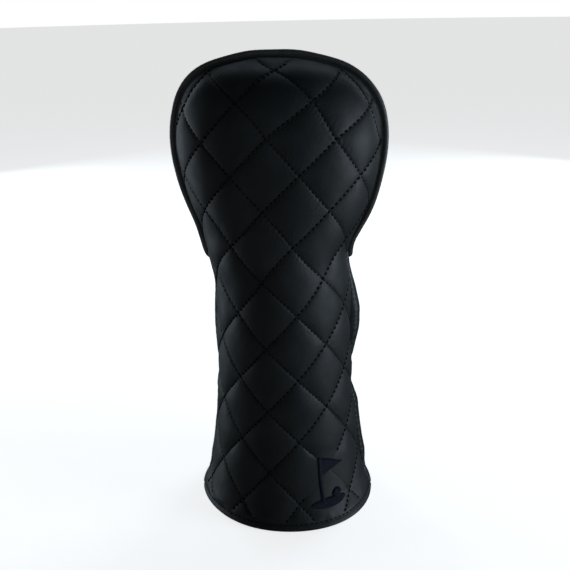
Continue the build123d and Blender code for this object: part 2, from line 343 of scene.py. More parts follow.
def settle_shape(points):
    """The cover as it stands: neck and crown lean a little to the left, and the hem flares."""
    x, y, z = (points[..., k] for k in range(3))
    side = np.tanh(x / 15.0)
    on_head = ease((z - SHOULDER_Z) / 40)
    shift = side * on_head * ease((TOP_Z - z) / 30) - HEAD_LEAN * on_head
    shift -= (NECK_LEAN + 0.5 * side) * hill(z, LEAN_Z, 17.0) + CROWN_LEAN * ease((z - CROWN_Z) / 42)
    turn = np.arctan2(x, -y)
    reach = FLARE + sum(more * hill(turn, place, width) for more, place, width in FLARE_CHANGES)
    flare = reach * np.clip(1 - z / FLARE_Z, 0, 1) ** 1.2
    settled = x + shift + flare * np.sin(turn), y - flare * np.cos(turn), np.maximum(z, 0.06)
    return np.stack(settled, axis=-1)


# ---------------------------------------------------------------- meshes
def make_object(name, verts, faces, material):
    mesh = bpy.data.meshes.new(name)
    mesh.from_pydata([tuple(v) for v in np.asarray(verts) * MM], [], faces)
    mesh.update()
    mesh.polygons.foreach_set("use_smooth", [True] * len(mesh.polygons))
    mesh.materials.append(material)
    obj = bpy.data.objects.new(name, mesh)
    bpy.context.scene.collection.objects.link(obj)
    return obj


def grid_faces(index):
    """The squares between the rows and the columns of a grid of vertex numbers."""
    corners = index[:-1, :-1], index[:-1, 1:], index[1:, 1:], index[1:, :-1]
    return np.stack(corners, axis=-1).reshape(-1, 4).tolist()


def tube_faces(rings, count):
    """The squares between rings of this many points each."""
    index = np.arange(rings * count).reshape(rings, count)
    return grid_faces(np.hstack([index, index[:, :1]]))


def clean_face(face):
    """A face without repeated corners, or nothing if fewer than three are left."""
    out = [i for k, i in enumerate(face) if i != face[k - 1]]
    return out if len(set(out)) > 2 else None


def sheet(name, outer, inner, material, flip=False, pole=False):
    """A closed sheet between two grids of points. With a pole, the last row of each is one point."""
    rows, columns = outer.shape[:2]
    index = np.arange(rows * columns).reshape(rows, columns)
    if pole:
        index[-1, :] = index[-1, 0]
    shift = rows * columns
    faces = grid_faces(index)
    faces += [[k + shift for k in reversed(face)] for face in faces]
    border = list(index[0, :]) + list(index[1:, -1])
    if not pole:
        border += list(index[-1, -2::-1])
    border += list(index[-2:0:-1, 0])
    for p, q in zip(border, border[1:] + border[:1]):
        if p != q:
            faces.append([q, p, p + shift, q + shift])
    if pole:
        faces = [face for face in map(clean_face, faces) if face]
    if flip:
        faces = [face[::-1] for face in faces]
    verts = np.concatenate([outer.reshape(-1, 3), inner.reshape(-1, 3)])
    used = np.unique(np.concatenate(faces))
    number = np.zeros(len(verts), int)
    number[used] = np.arange(len(used))
    return make_object(name, verts[used], [number[face].tolist() for face in faces], material)


def rounded_stroke(path, up, width, height, sides=8):
    """A closed thread along points, flattened to width by height, with rounded ends."""
    n = len(path)
    tangent = unit(np.gradient(path, axis=0))
    across = unit(np.cross(tangent, up))
    rise = np.cross(across, tangent)
    taper = np.sqrt(np.clip(1 - np.abs(np.linspace(-1, 1, n)) ** 6, 0.08, 1))[:, None, None]
    ring = np.linspace(0, 2 * np.pi, sides, endpoint=False)[None, :, None]
    verts = path[:, None] + across[:, None] * (np.cos(ring) * width / 2 * taper)
    verts = verts + rise[:, None] * (np.sin(ring) * height / 2 * taper)
    ends = [list(range(sides))[::-1], [(n - 1) * sides + j for j in range(sides)]]
    return verts.reshape(-1, 3), tube_faces(n, sides) + ends


def joined(name, parts, material):
    verts, faces, base = [], [], 0
    for part_verts, part_faces in parts:
        verts.append(part_verts)
        faces += [[base + i for i in face] for face in part_faces]
        base += len(part_verts)
    return make_object(name, np.concatenate(verts), faces, material)


def piece(obj, slot, *nodes, fill=None):
    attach(obj, "root")
    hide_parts(*nodes)


# ---------------------------------------------------------------- materials
def set_inputs(node, values):
    for name, value in values.items():
        node.inputs[name].default_value = value


class Look:
    """A material in the making: its shader, and patterns in the object's own coordinates."""

    def __init__(self, name):
        self.material = bpy.data.materials.new(name)
        self.material.use_nodes = True
        self.nodes, self.links = self.material.node_tree.nodes, self.material.node_tree.links
        self.shader = self.nodes["Principled BSDF"]
        self.coords = self.nodes.new("ShaderNodeTexCoord").outputs["Object"]

    def pattern(self, kind, values, coords=None):
        node = self.nodes.new(kind)
        set_inputs(node, values)
        self.links.new(self.coords if coords is None else coords, node.inputs["Vector"])
        return node

    def noise(self, scale, detail, stretch=None):
        coords = None
        if stretch:
            coords = self.pattern("ShaderNodeMapping", {"Scale": stretch}).outputs["Vector"]
        return self.pattern("ShaderNodeTexNoise", {"Scale": scale, "Detail": detail}, coords).outputs["Fac"]

    def wave(self, direction, values):
        node = self.pattern("ShaderNodeTexWave", values)
        node.wave_type = "BANDS"
        node.bands_direction = direction
        return node.outputs["Fac"]

    def colour(self, value, low, dark, high, light):
        """The base colour: dark where the value is low, light where it is high."""
        node = self.nodes.new("ShaderNodeValToRGB")
        elements = node.color_ramp.elements
        elements[0].position, elements[0].color = low, (*dark, 1.0)
        elements[1].position, elements[1].color = high, (*light, 1.0)
        self.links.new(value, node.inputs["Fac"])
        self.links.new(node.outputs["Color"], self.shader.inputs["Base Color"])

    def roughness(self, value, low, high):
        """The roughness: from low to high over the middle of a noise."""
        node = self.nodes.new("ShaderNodeMapRange")
        set_inputs(node, {"From Min": 0.3, "From Max": 0.7, "To Min": low, "To Max": high})
        self.links.new(value, node.inputs["Value"])
        self.links.new(node.outputs["Result"], self.shader.inputs["Roughness"])

    def bump(self, layers):
        """Bumps one over another, each a height, a strength and a distance in metres."""
        last = None
        for height, strength, distance in layers:
            node = self.nodes.new("ShaderNodeBump")
            set_inputs(node, {"Strength": strength, "Distance": distance})
            self.links.new(height, node.inputs["Height"])
            if last is not None:
                self.links.new(last, node.inputs["Normal"])
            last = node.outputs["Normal"]
        self.links.new(last, self.shader.inputs["Normal"])


def shaded(colour, share):
    return tuple(share * part for part in colour)


def leather_material(name, shade, rough, grain, tint=(0.62, 0.9, 1.1)):
    """Coated black leather: pebbled grain, fine creases, scuffs that scatter the gloss."""
    look = Look(name)
    look.colour(look.noise(55.0, 4.0), 0.3, shaded(tint, shade * 0.8), 0.7, shaded(tint, shade * 1.25))
    pebbles = look.pattern("ShaderNodeTexVoronoi", {"Scale": 950.0})
    pebbles.feature = "SMOOTH_F1"
    set_inputs(pebbles, {"Smoothness": 0.6})
    fine = look.noise(2600.0, 3.0)
    creases = look.noise(210.0, 5.0, (1.0, 1.0, 1.6))
    look.roughness(look.noise(90.0, 5.0), rough - 0.03, rough + 0.05)
    set_inputs(look.shader, {"IOR": 1.5})
    grains = pebbles.outputs["Distance"]
    look.bump([(creases, 0.16, 0.0005), (grains, grain, 0.00012), (fine, 0.3, 0.00004)])
    return look.material


def thread_material(name, colour, pitch=1500.0, sheen=0.25):
    """Twisted thread: fine slanting plies and a soft sheen."""
    look = Look(name)
    plies = look.wave("DIAGONAL", {"Scale": pitch, "Distortion": 1.5, "Detail Scale": 2.0})
    fibre = look.noise(3500.0, 3.0)
    look.colour(plies, 0.1, shaded(colour, 0.55), 0.75, colour)
    set_inputs(look.shader, {"Sheen Weight": sheen, "Sheen Roughness": 0.4, "Specular IOR Level": 0.3})
    look.roughness(fibre, 0.62, 0.82)
    look.bump([(plies, 0.6, 0.00012), (fibre, 0.3, 0.00005)])
    return look.material


def fluffy_material(name, colour, scale):
    """Fleece, wadding or felt: matted fibres with a soft sheen."""
    look = Look(name)
    clumps = look.noise(scale, 6.0)
    fibre = look.noise(scale * 8, 4.0, (1.0, 1.0, 0.4))
    look.colour(clumps, 0.3, shaded(colour, 0.6), 0.65, colour)
    set_inputs(look.shader, {"Roughness": 0.95, "Sheen Weight": 0.5, "Sheen Roughness": 0.6})
    look.bump([(clumps, 0.8, 0.0012), (fibre, 0.6, 0.0003)])
    return look.material


def woven_material(name, colour, pitch):
    """Woven tape: ribs one way crossed by finer threads."""
    look = Look(name)
    ribs = look.wave("Z", {"Scale": pitch, "Distortion": 0.6})
    threads = look.wave("X", {"Scale": pitch * 1.7, "Distortion": 0.6})
    look.colour(ribs, 0.2, shaded(colour, 0.5), 0.8, colour)
    look.roughness(look.noise(1800.0, 4.0), 0.7, 0.9)
    look.bump([(ribs, 0.5, 0.0003), (threads, 0.5, 0.0003)])
    return look.material


QUILTED = leather_material("quilted_leather", shade=0.0068, rough=0.59, grain=0.45)
SMOOTH = leather_material("smooth_leather", shade=0.0055, rough=0.50, grain=0.4)
# The piping gets a base colour several times lighter and cooler than the black panels: painted rim light
# along its top and sides.
PIPING_PAINTED_RIM_LIGHT = leather_material("piping_leather", shade=0.030, rough=0.45, grain=0.2, tint=(0.88, 1.0, 1.02))
BLACK_THREAD = thread_material("black_thread", (0.002, 0.002, 0.0022), sheen=0.0)
NAVY_THREAD = thread_material("navy_thread", (0.004, 0.007, 0.022), sheen=0.05)
CORD = thread_material("cotton_cord", (0.62, 0.6, 0.54), pitch=700.0)
FLEECE = fluffy_material("fleece_lining", (0.055, 0.055, 0.06), scale=520.0)
# The wadding is coloured near black though it is off-white: painted shade, so that where it shows in gaps
# between the panels it reads as shadow.
SHADE_DARK_WADDING = fluffy_material("polyester_wadding", (0.05, 0.05, 0.055), scale=300.0)
STABILISER = fluffy_material("stabiliser_felt", (0.02, 0.02, 0.021), scale=700.0)
ELASTIC = woven_material("woven_elastic", (0.03, 0.03, 0.031), pitch=260.0)

for node, material in {
    "front_lining": FLEECE,
    "back_lining": FLEECE,
    "hem_facing": SMOOTH,
    "neck_elastic": ELASTIC,
    "emblem_backing": STABILISER,
}.items():
    NODES[node].data.materials.clear()
    NODES[node].data.materials.append(material)


# ---------------------------------------------------------------- panels: grids, edges and sides
# Lengths that the steps near an edge are shares of, and those steps.
FRONT_LENGTH, BACK_LENGTH, PANEL_WIDTH = 345.0, 340.0, 165.0
FRONT_HEM_STEPS = np.array([0.3, 0.7, 1.2, 1.8])
FRONT_EDGE_STEPS = np.array([0.15, 0.35, 0.6, 0.9, 1.3, 1.7, 2.2, 2.7, 3.3, 4.0])
BACK_EDGE_STEPS = np.array([0.2, 0.45, 0.8, 1.2, 1.7, 2.2, 2.9, 3.7, 4.6])
BACK_ROW_STEPS = np.array([0.15, 0.35, 0.6, 0.9, 1.3, 1.8, 2.4, 3.2])


def shares_with(count, *extra):
    """Shares from 0 to 1, evenly spread, and these extra ones."""
    return np.unique(np.round(np.concatenate([np.linspace(0, 1, count), *extra]), 6))


def column_shares(count, steps):
    near = steps / PANEL_WIDTH
    return shares_with(count, near, 1 - near)


def edge_distance(points):
    """How far each point of a grid is from the left and right edges, along its row."""
    steps = np.linalg.norm(np.diff(points, axis=1), axis=2)
    length = np.concatenate([np.zeros((len(points), 1)), np.cumsum(steps, axis=1)], axis=1)
    return length, length[:, -1:] - length


def roll(distance, radius):
    """How far an edge that is turned in with this radius lies below the surface."""
    t = np.clip(1 - distance / radius, 0, 1)
    return radius * (1 - np.sqrt(np.clip(1 - t * t, 0, 1)))


def leather_sides(points, out, lift, hem=True):
    """The outside and the under side of a leather panel, which meet the floor together at a hem."""
    skin = settle_shape(points + out * lift[..., None])
    under = settle_shape(points + out * (lift - LEATHER)[..., None])
    if hem:
        under[0, :, 2] = skin[0, :, 2]
    return skin, under


def lowest_near(grid, reach):
    """The lowest value within this many rows and columns."""
    for _ in range(reach):
        grid = np.pad(grid, 1, mode="edge")
        grid = np.minimum(np.minimum(grid[:-2], grid[1:-1]), grid[2:])
        grid = np.minimum(np.minimum(grid[:, :-2], grid[:, 1:-1]), grid[:, 2:])
    return grid


def every_third(grid):
    rows, columns = (np.unique(np.append(np.arange(0, n, 3), n - 1)) for n in grid.shape[:2])
    return grid[rows][:, columns]


def padding(name, points, out, lift, node, flip=False, pole=False):
    """Wadding between the under side of a leather panel and the lining."""
    base, normal, height = every_third(points), every_third(out), every_third(lowest_near(lift, 4))
    upper = np.clip(height - LEATHER - 0.35, 0.9 - LINING_DEPTH, -1.6)
    outer = settle_shape(base + normal * upper[..., None])
    inner = base + normal * (0.05 - LINING_DEPTH)
    inner[..., 2] = np.maximum(inner[..., 2], FOOT_Z)
    # The wadding is made in the near-black colour that carries the painted shade.
    piece(sheet(name, outer, inner, SHADE_DARK_WADDING, flip, pole), "wadding", node, fill=0.6)


def hem_relief(points):
    """The turned hem: a groove along the topstitching, and ripples above it."""
    z = points[..., 2]
    ripple = 0.16 * noise3(points, 4.5) * hill(z, HEM_STITCH_Z + 2.5, 4.0)
    return ripple - 0.5 * hill(z, HEM_STITCH_Z, 0.8)


# ---------------------------------------------------------------- quilted front
EMBLEM_TURN = math.radians(33.0)
EMBLEM_RIGHT = np.array([math.cos(EMBLEM_TURN), math.sin(EMBLEM_TURN), 0.0])
EMBLEM_OUT = np.array([math.sin(EMBLEM_TURN), -math.cos(EMBLEM_TURN), 0.0])
EMBLEM_REACH_X, EMBLEM_REACH_Z = 19.0, 23.0


def emblem_mask(points):
    """1 over the embroidery, easing to 0 round it."""
    across = points @ EMBLEM_RIGHT
    up = points[..., 2] - EMBLEM_LOW - EMBLEM_HEIGHT / 2
    reach = np.hypot(across / EMBLEM_REACH_X, up / EMBLEM_REACH_Z)
    return ease((1.25 - reach) / 0.5) * ((points @ EMBLEM_OUT) > 0)


def pillow(distance):
    """Height of the padding at this distance from a line of stitching, up to the middle of a diamond."""
    t = np.clip(distance / (LINE_GAP / 2), 0, 1)
    return 1 - (1 - t) ** 2.9


def puckers(distance, run, wander, reach):
    """Gathers on both sides of a line of stitching, none of them on the line itself."""
    waves = np.cos(2 * np.pi * (run + wander))
    return waves * np.exp(-distance / reach) * (1 - np.exp(-distance / 0.6))


def quilt_relief(points):
    """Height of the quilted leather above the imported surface, and the part that the stitches make."""
    rising, falling = quilt_coords(points)
    to_rising = np.abs(rising - np.round(rising)) * LINE_GAP
    to_falling = np.abs(falling - np.round(falling)) * LINE_GAP
    plump = pillow(to_rising) * pillow(to_falling) * (1 + 0.10 * noise3(points, 24.0))
    on_head = ease((points[..., 2] - 195) / 30)
    height = (SLEEVE_PUFF + (HEAD_PUFF - SLEEVE_PUFF) * on_head) * plump - SUNK
    height += 0.10 * noise3(points, 15.0) + 0.02 * noise3(points, 4.0)
    wander = 0.8 * noise3(points, 5.0)
    stitched = 0.06 * puckers(to_rising, falling * LINE_GAP / 4.1, wander, 2.6)
    stitched += 0.12 * puckers(to_falling, rising * LINE_GAP / 3.4, wander, 3.2)
    stitched -= 0.20 * hill(to_rising, 0, 1.0) + 0.34 * hill(to_falling, 0, 0.75)
    return height, stitched * ease((TOP_Z - 0.1 - points[..., 2]) / 0.4)


def front_points(rows, columns):
    up = shares_with(rows, FRONT_HEM_STEPS / FRONT_LENGTH)
    points = net_at(front_net, *np.meshgrid(up, column_shares(columns, FRONT_EDGE_STEPS), indexing="ij"))
    return points, outward_normals(points, FRONT)


def front_height(points):
    """Relief of the front: quilting, flatter beside the piping, under the emblem and at the hem."""
    near = np.minimum(*edge_distance(points))
    z = points[..., 2]
    on_head = ease((z - 186) / 22)
    relief, stitched = quilt_relief(points)
    flatter = (1 - ease(near / 12.0)) * on_head
    relief = relief * (1 - flatter) + 0.8 * flatter + stitched
    settle = np.exp(-near / (1.4 + 0.6 * on_head))
    relief = relief * (1 - settle) + (0.1 - 0.5 * on_head) * settle
    mask = emblem_mask(points)
    relief = relief * (1 - 0.75 * mask) + 0.25 * mask
    above_hem = ease((z - HEM_STITCH_Z + 0.5) / 5.5)
    relief = relief * above_hem - 0.15 * (1 - above_hem) + hem_relief(points)
    relief += 0.22 * noise3(points * np.array([1.0, 1.0, 2.2]), 7.0) * np.exp(-near / 4.5)
    return relief - roll(near, SEAM_ROLL) - roll(z - FOOT_Z, HEM_ROLL)


front, front_out = front_points(rows=470, columns=350)
front_lift = front_height(front)
front_skin, front_under = leather_sides(front, front_out, front_lift)
quilted_front = sheet("quilted_front", front_skin, front_under, QUILTED, pole=True)
piece(quilted_front, "quilted_leather", "front_leather", fill=0.7)
padding("front_padding", front, front_out, front_lift, "front_wadding", pole=True)


# ---------------------------------------------------------------- smooth panels at the back
BACK_COLUMNS = column_shares(210, BACK_EDGE_STEPS)


def above_seam(points):
    """Distance behind and above the head seam; below it the distance is negative."""
    y, z = points[..., 1], points[..., 2]
    in_corner = SEAM_CORNER - np.hypot(np.maximum(CORNER_Y - y, 0), np.maximum(CORNER_Z - z, 0))
    straight = np.where(z >= CORNER_Z, y - SEAM_Y, z - NECK_Z)
    return np.where((y < CORNER_Y) & (z < CORNER_Z), in_corner, straight)


def seam_rows(margin):
    """For each column of the back net, the share at which it comes this far past the head seam."""
    steps = np.linspace(0, 1, 1200)
    out = []
    for column in BACK_COLUMNS:
        past = above_seam(net_at(back_net, steps, np.full_like(steps, column))) - margin
        crossings = np.flatnonzero((past[:-1] < 0) & (past[1:] >= 0))
        k = crossings[0] if len(crossings) else 0
        out.append(steps[k] + (steps[k + 1] - steps[k]) * -past[k] / (past[k + 1] - past[k]))
    return np.array(out)


def panel_grid(low, high, rows, high_edge):
    """A grid on the back between two shares of each column, finer at the low and maybe the high edge."""
    near = BACK_ROW_STEPS / (BACK_LENGTH * np.mean(high - low))
    shares = shares_with(rows, near, 1 - near) if high_edge else shares_with(rows, near)
    a = low + (high - low) * shares[:, None]
    points = net_at(back_net, a, np.repeat(BACK_COLUMNS[None, :], len(shares), axis=0))
    return points, outward_normals(points, BACK)


def soft_wrinkles(points):
    stretched = points * np.array([1.0, 1.0, 0.55])
    return 0.30 * noise3(stretched, 26.0) + 0.09 * noise3(points, 9.0) + 0.03 * noise3(points, 3.5)


def seam_puckers(points, near, reach):
    """Small gathers that the seam's stitches pull into the edge."""
    run = np.where(points[..., 2] > CORNER_Z, points[..., 2], points[..., 2] + points[..., 0])
    return 0.16 * np.cos(2 * np.pi * run / 4.2 + 2.0 * noise3(points, 6.0)) * np.exp(-near / reach)


def head_height(points):
    """Relief of the back of the head: softly wrinkled, drawn down along the seam."""
    near = np.maximum(above_seam(points), 0)
    settle = np.exp(-near / 2.5)
    lift = (1.1 + soft_wrinkles(points)) * (1 - settle) - 0.4 * settle
    return lift + seam_puckers(points, near, 5.0) - roll(np.maximum(near - HALF_SEAM, 0), SEAM_ROLL)


def sleeve_height(points):
    """Relief of the back of the sleeve: gathered at the elastic, with a belly above and below it."""
    x, y, z = (points[..., k] for k in range(3))
    side_near = np.maximum(y - BACK_Y, 0)
    near = np.minimum(side_near, np.maximum(-above_seam(points) - HALF_SEAM, 0))
    left, right = edge_distance(points)
    girth = (left - right) / 2
    belly = hill(side_near, 8.0, 12.5) * (0.3 + 0.7 * ease(x / 20.0))
    upper = ease((z - 98) / 38) * ease((182 - z) / 40)
    lower = ease((z - 8) / 20) * ease((88 - z) / 22)
    plain = 0.5 + soft_wrinkles(points) + belly * (UPPER_BELLY * upper + LOWER_BELLY * lower)
    fold = np.cos(2 * np.pi * girth / 7.6 + 1.3 * noise3(points * np.array([1, 1, 0.4]), 11.0))
    rows = sum(hill(z, row, 1.3) for row in ELASTIC_ROWS)
    gathers = 0.75 * fold * hill(z, ELASTIC_Z, 34.0) * (1 - 0.55 * np.minimum(rows, 1)) - 0.45 * rows
    gathers = gathers * (1 - np.exp(-side_near / 5.0)) - 1.5 * np.exp(-(((z - ELASTIC_Z) / 14.0) ** 4))
    above_hem = ease((z - 6.0) / 8.0)
    settle = np.exp(-near / 1.6)
    lift = (plain * above_hem + gathers) * (1 - settle) - 0.2 * settle * above_hem
    lift += hem_relief(points) + seam_puckers(points, near, 3.5) * above_hem
    return lift - roll(near, SEAM_ROLL) - roll(z - FOOT_Z, HEM_ROLL)


head_low = seam_rows(HALF_SEAM)
head, head_out = panel_grid(head_low, np.ones_like(head_low), rows=200, high_edge=False)
head_lift = head_height(head)
head_skin, head_under = leather_sides(head, head_out, head_lift, hem=False)
smooth_head = sheet("smooth_back_head", head_skin, head_under, SMOOTH, flip=True, pole=True)
piece(smooth_head, "smooth_leather", "back_head_leather", fill=0.6)
padding("back_head_padding", head, head_out, head_lift, "back_head_wadding", flip=True, pole=True)

sleeve_high = seam_rows(-HALF_SEAM)
sleeve, sleeve_out = panel_grid(np.zeros_like(sleeve_high), sleeve_high, rows=240, high_edge=True)
sleeve_lift = sleeve_height(sleeve)
sleeve_skin, sleeve_under = leather_sides(sleeve, sleeve_out, sleeve_lift)
smooth_sleeve = sheet("smooth_back_sleeve", sleeve_skin, sleeve_under, SMOOTH, flip=True)
piece(smooth_sleeve, "smooth_leather", "back_sleeve_leather", fill=0.6)
padding("back_sleeve_padding", sleeve, sleeve_out, sleeve_lift, "back_sleeve_wadding", flip=True)


# ---------------------------------------------------------------- piping
def skin_hit(origin, direction):
    hit, normal, _, _ = SKIN.ray_cast(Vector(origin), Vector(direction))
    return np.array(hit), np.array(normal)


def piping_route():
    """Points in the seam on the right, from the top to the middle of the back, and outward directions."""
    seam = front_net[::-1, -1].copy()
    seam[:, 1] = SEAM_Y
    seam = seam[seam[:, 2] > CORNER_Z + 2]
    forward = np.gradient(seam, axis=0)
    points = list(seam)
    outs = [np.array([-t[2], 0, t[0]]) / np.hypot(t[0], t[2]) for t in forward]
    for turn in np.radians(np.linspace(0, 90, 16)):
        back, down = math.cos(turn), math.sin(turn)
        y, z = CORNER_Y - SEAM_CORNER * back, CORNER_Z - SEAM_CORNER * down
        hit, normal = skin_hit((OUTSIDE, y - 0.9 * back, z - 0.9 * down), (-1, 0, 0))
        points.append(np.array([hit[0], y, z]))
        outs.append(normal)
    start = math.atan2(points[-1][0], points[-1][1] - BACK_Y)
    for turn in np.linspace(start, 0, 26)[1:]:
        d = np.array([math.sin(turn), math.cos(turn), 0])
        hit, normal = skin_hit((d[0] * OUTSIDE, BACK_Y + d[1] * OUTSIDE, NECK_Z - 0.9), -d)
        points.append(np.array([hit[0], hit[1], NECK_Z]))
        outs.append(normal)
    return np.array(points), unit(np.array(outs))


def both_halves(right_half):
    """From the middle of the back round the left side, over the top and down the right."""
    left_half = right_half * np.array([-1.0, 1.0, 1.0])
    return np.concatenate([left_half[:0:-1], right_half])


right_points, right_outs = piping_route()
right_length = length_along(right_points)
right_places = np.linspace(0, right_length[-1], int(right_length[-1] / 0.7) + 1)
route = blur(both_halves(line_at(right_points, right_length, right_places)), 30)
route_along = unit(np.gradient(route, axis=0))
route_out = blur(both_halves(line_at(right_outs, right_length, right_places)), 60)
route_out = unit(route_out - route_along * (route_out * route_along).sum(axis=1, keepdims=True))
route_side = np.cross(route_along, route_out)
# Near the neck the piping sinks between the panels.
stand_off = PIPING_STAND_OFF - 0.7 * ease((CORNER_Z + 24 - route[:, 2]) / 30)
core_line = settle_shape(route + route_out * stand_off[:, None])
core_run = length_along(core_line)


def piping_skin_mesh():
    """The strip of leather round the cord, and its two edges going into the seam."""
    turns = np.radians(np.linspace(-66, 246, 29))
    ring = np.stack([np.cos(turns), np.sin(turns)], axis=1) * PIPING_R
    stem = np.array([[-0.72, -2.6], [-0.68, -4.2], [-0.66, -6.0], [0.66, -6.0], [0.68, -4.2], [0.72, -2.6]])
    profile = np.concatenate([ring, stem])
    rings, count = len(core_line), len(profile)
    hole_turns = np.linspace(turns[0], turns[0] + 2 * np.pi, count, endpoint=False)
    hole = np.stack([np.cos(hole_turns), np.sin(hole_turns)], axis=1) * HOLLOW_R
    wrinkle = 0.10 * np.cos(2 * np.pi * core_run / 3.3 + 1.5 * noise3(core_line, 8.0))
    wrinkle += 0.09 * noise3(core_line, 5.0)
    low = np.clip(-profile[:, 1] / PIPING_R, 0, 1)
    swell = 1 + wrinkle[:, None] * (0.25 + low) / PIPING_R * (np.arange(count) < len(ring))

    def carried(shape, scale):
        """The outline carried along the core line."""
        across, up = ((shape[:, k] * scale)[..., None] for k in (0, 1))
        return core_line[:, None] + route_side[:, None] * across + route_out[:, None] * up

    outer, inner = carried(profile, swell), carried(hole, np.ones_like(swell))
    shift = rings * count
    faces = tube_faces(rings, count)
    faces += [[k + shift for k in reversed(face)] for face in faces]
    loop = np.append(np.arange(count), 0)
    end_faces = np.stack([loop, loop + shift])
    faces += [face[::-1] for face in grid_faces(end_faces)]
    faces += grid_faces(end_faces + (rings - 1) * count)
    return np.concatenate([outer.reshape(-1, 3), inner.reshape(-1, 3)]), faces


# The piping's skin wears the lighter leather that carries the painted rim light.
piping_skin = make_object("piping_skin", *piping_skin_mesh(), PIPING_PAINTED_RIM_LIGHT)
piece(piping_skin, "piping_leather", "piping_cover", "piping_seam_allowance")


def piping_core_parts():
    """Three strands twisted together."""
    parts = []
    for strand in range(3):
        turn = 2 * np.pi * (core_run / STRAND_LAY + strand / 3)[:, None]
        line = core_line + STRAND_R * (np.cos(turn) * route_side + np.sin(turn) * route_out)
        parts.append(rounded_stroke(line, route_out, STRAND_W, STRAND_W))
    return parts


piping_core = joined("piping_core", piping_core_parts(), CORD)
piece(piping_core, "cord", "piping_cord")


# ---------------------------------------------------------------- stitches
def grid_point(grid, i, j):
    k = np.minimum(j.astype(int), grid.shape[1] - 2)
    f = (j - k)[:, None]
    return grid[i, k] * (1 - f) + grid[i, k + 1] * f


def traced_lines(field, skin, out):
    """The places in a grid where the field is whole, line by line, from the foot up."""
    for number in range(int(np.floor(field.min())), int(np.ceil(field.max())) + 1):
        shifted = field - number
        cross = shifted[:, :-1] * shifted[:, 1:] < 0
        rows = np.flatnonzero(cross.any(axis=1))
        first = cross[rows].argmax(axis=1)
        a, b = shifted[rows, first], shifted[rows, first + 1]
        places = first + a / (a - b)
        yield rows, places, grid_point(skin, rows, places), grid_point(out, rows, places)


def stitches(points, outs, pitch, length, width, lift, slant=0.0, keep=None):
    """Stitches laid end to end along a line of points, each dipping into the leather at both ends."""
    total = length_along(points)
    shares = np.linspace(0, 1, 6)
    arch = np.sin(np.pi * shares) ** 0.6
    parts = []
    for start in np.arange(pitch / 2, total[-1] - length, pitch):
        line = line_at(points, total, start + length * shares)
        up = line_at(outs, total, start + length * shares)
        if keep is not None and not keep(line[2:3])[0]:
            continue
        if slant:
            across = np.cross(unit(line[-1] - line[0]), up[2])
            line = line + across * (slant * (2 * shares - 1))[:, None]
        line = line + up * (lift + 0.68 * width * (arch - 0.75))[:, None]
        parts.append(rounded_stroke(line, up, width, width * 0.8))
    return parts


CLEAR_OF_SEAM, CLEAR_OF_HEM, CLEAR_OF_TOP = 2.8, 1.6, 0.15


def on_panel(points):
    """Whether a quilting stitch here is clear of the emblem, the hem and the top seam."""
    z = points[..., 2]
    between = (z > HEM_STITCH_Z + CLEAR_OF_HEM) & (z < TOP_Z - CLEAR_OF_TOP)
    return between & (emblem_mask(points) < 0.35)


def quilting(field, pitch, length, width, lift, slant):
    parts = []
    near = np.minimum(*edge_distance(front))
    for rows, places, points, outs in traced_lines(field, front_skin, front_out):
        clear = near[rows, places.astype(int)] > CLEAR_OF_SEAM
        if clear.sum() >= 8:
            parts += stitches(points[clear], outs[clear], pitch, length, width, lift, slant, on_panel)
    return parts


rising_field, falling_field = quilt_coords(front)
rising_parts = quilting(rising_field, pitch=3.7, length=2.6, width=1.3, lift=0.30, slant=0.12)
quilting_up = joined("quilting_rising_stitches", rising_parts, BLACK_THREAD)
piece(quilting_up, "black_thread", "quilting_rising")
falling_parts = quilting(falling_field, pitch=3.4, length=2.4, width=0.95, lift=0.12, slant=0.10)
quilting_down = joined("quilting_falling_stitches", falling_parts, BLACK_THREAD)
piece(quilting_down, "black_thread", "quilting_falling")


def level_line(skin, out, z):
    """The line at one height across a grid whose rows run upward."""
    points, outs = [], []
    for j in range(skin.shape[1]):
        heights = skin[:, j, 2]
        crossings = np.flatnonzero((heights[:-1] < z) & (heights[1:] >= z))
        if len(crossings):
            i = crossings[0]
            f = (z - heights[i]) / (heights[i + 1] - heights[i])
            points.append(skin[i, j] * (1 - f) + skin[i + 1, j] * f)
            outs.append(out[i, j])
    return np.array(points), np.array(outs)


hem_parts = []
for skin, out in ((front_skin, front_out), (sleeve_skin, sleeve_out)):
    line, outs = level_line(skin, out, HEM_STITCH_Z)
    hem_parts += stitches(line[4:-4], outs[4:-4], pitch=3.7, length=2.8, width=0.85, lift=0.12)
hem_threads = joined("hem_stitches", hem_parts, BLACK_THREAD)
piece(hem_threads, "black_thread", "hem_stitching")

elastic_parts = []
for z in ELASTIC_ROWS:
    line, outs = level_line(sleeve_skin, sleeve_out, z)
    elastic_parts += stitches(line[9:-9], outs[9:-9], pitch=3.2, length=2.3, width=0.8, lift=0.08)
elastic_threads = joined("elastic_stitches", elastic_parts, BLACK_THREAD)
piece(elastic_threads, "black_thread", "elastic_stitching")


# ---------------------------------------------------------------- embroidery
# A golf flag: the hole, the pole over it, the pennant on the pole and a ball beside it.
THREAD = 0.46
POLE_X, POLE_W = -5.0, 2.8
HOLE_W, HOLE_H = 29.0, 7.0
PENNANT_W, PENNANT_H = 20.0, 16.0
BALL_X, BALL_Z, BALL_R = 7.2, HOLE_H + 1.5, 3.6


def emblem_tree():
    """The right half of the front, up to a little above the emblem."""
    middle = front.shape[1] // 2
    rows = np.flatnonzero(front[:, middle, 2] < EMBLEM_LOW + EMBLEM_HEIGHT + 12)
    part = front_skin[rows[0] : rows[-1], middle:]
    index = np.arange(part.shape[0] * part.shape[1]).reshape(part.shape[:2])
    return BVHTree.FromPolygons([Vector(v) for v in part.reshape(-1, 3)], grid_faces(index))


EMBLEM_TREE = emblem_tree()


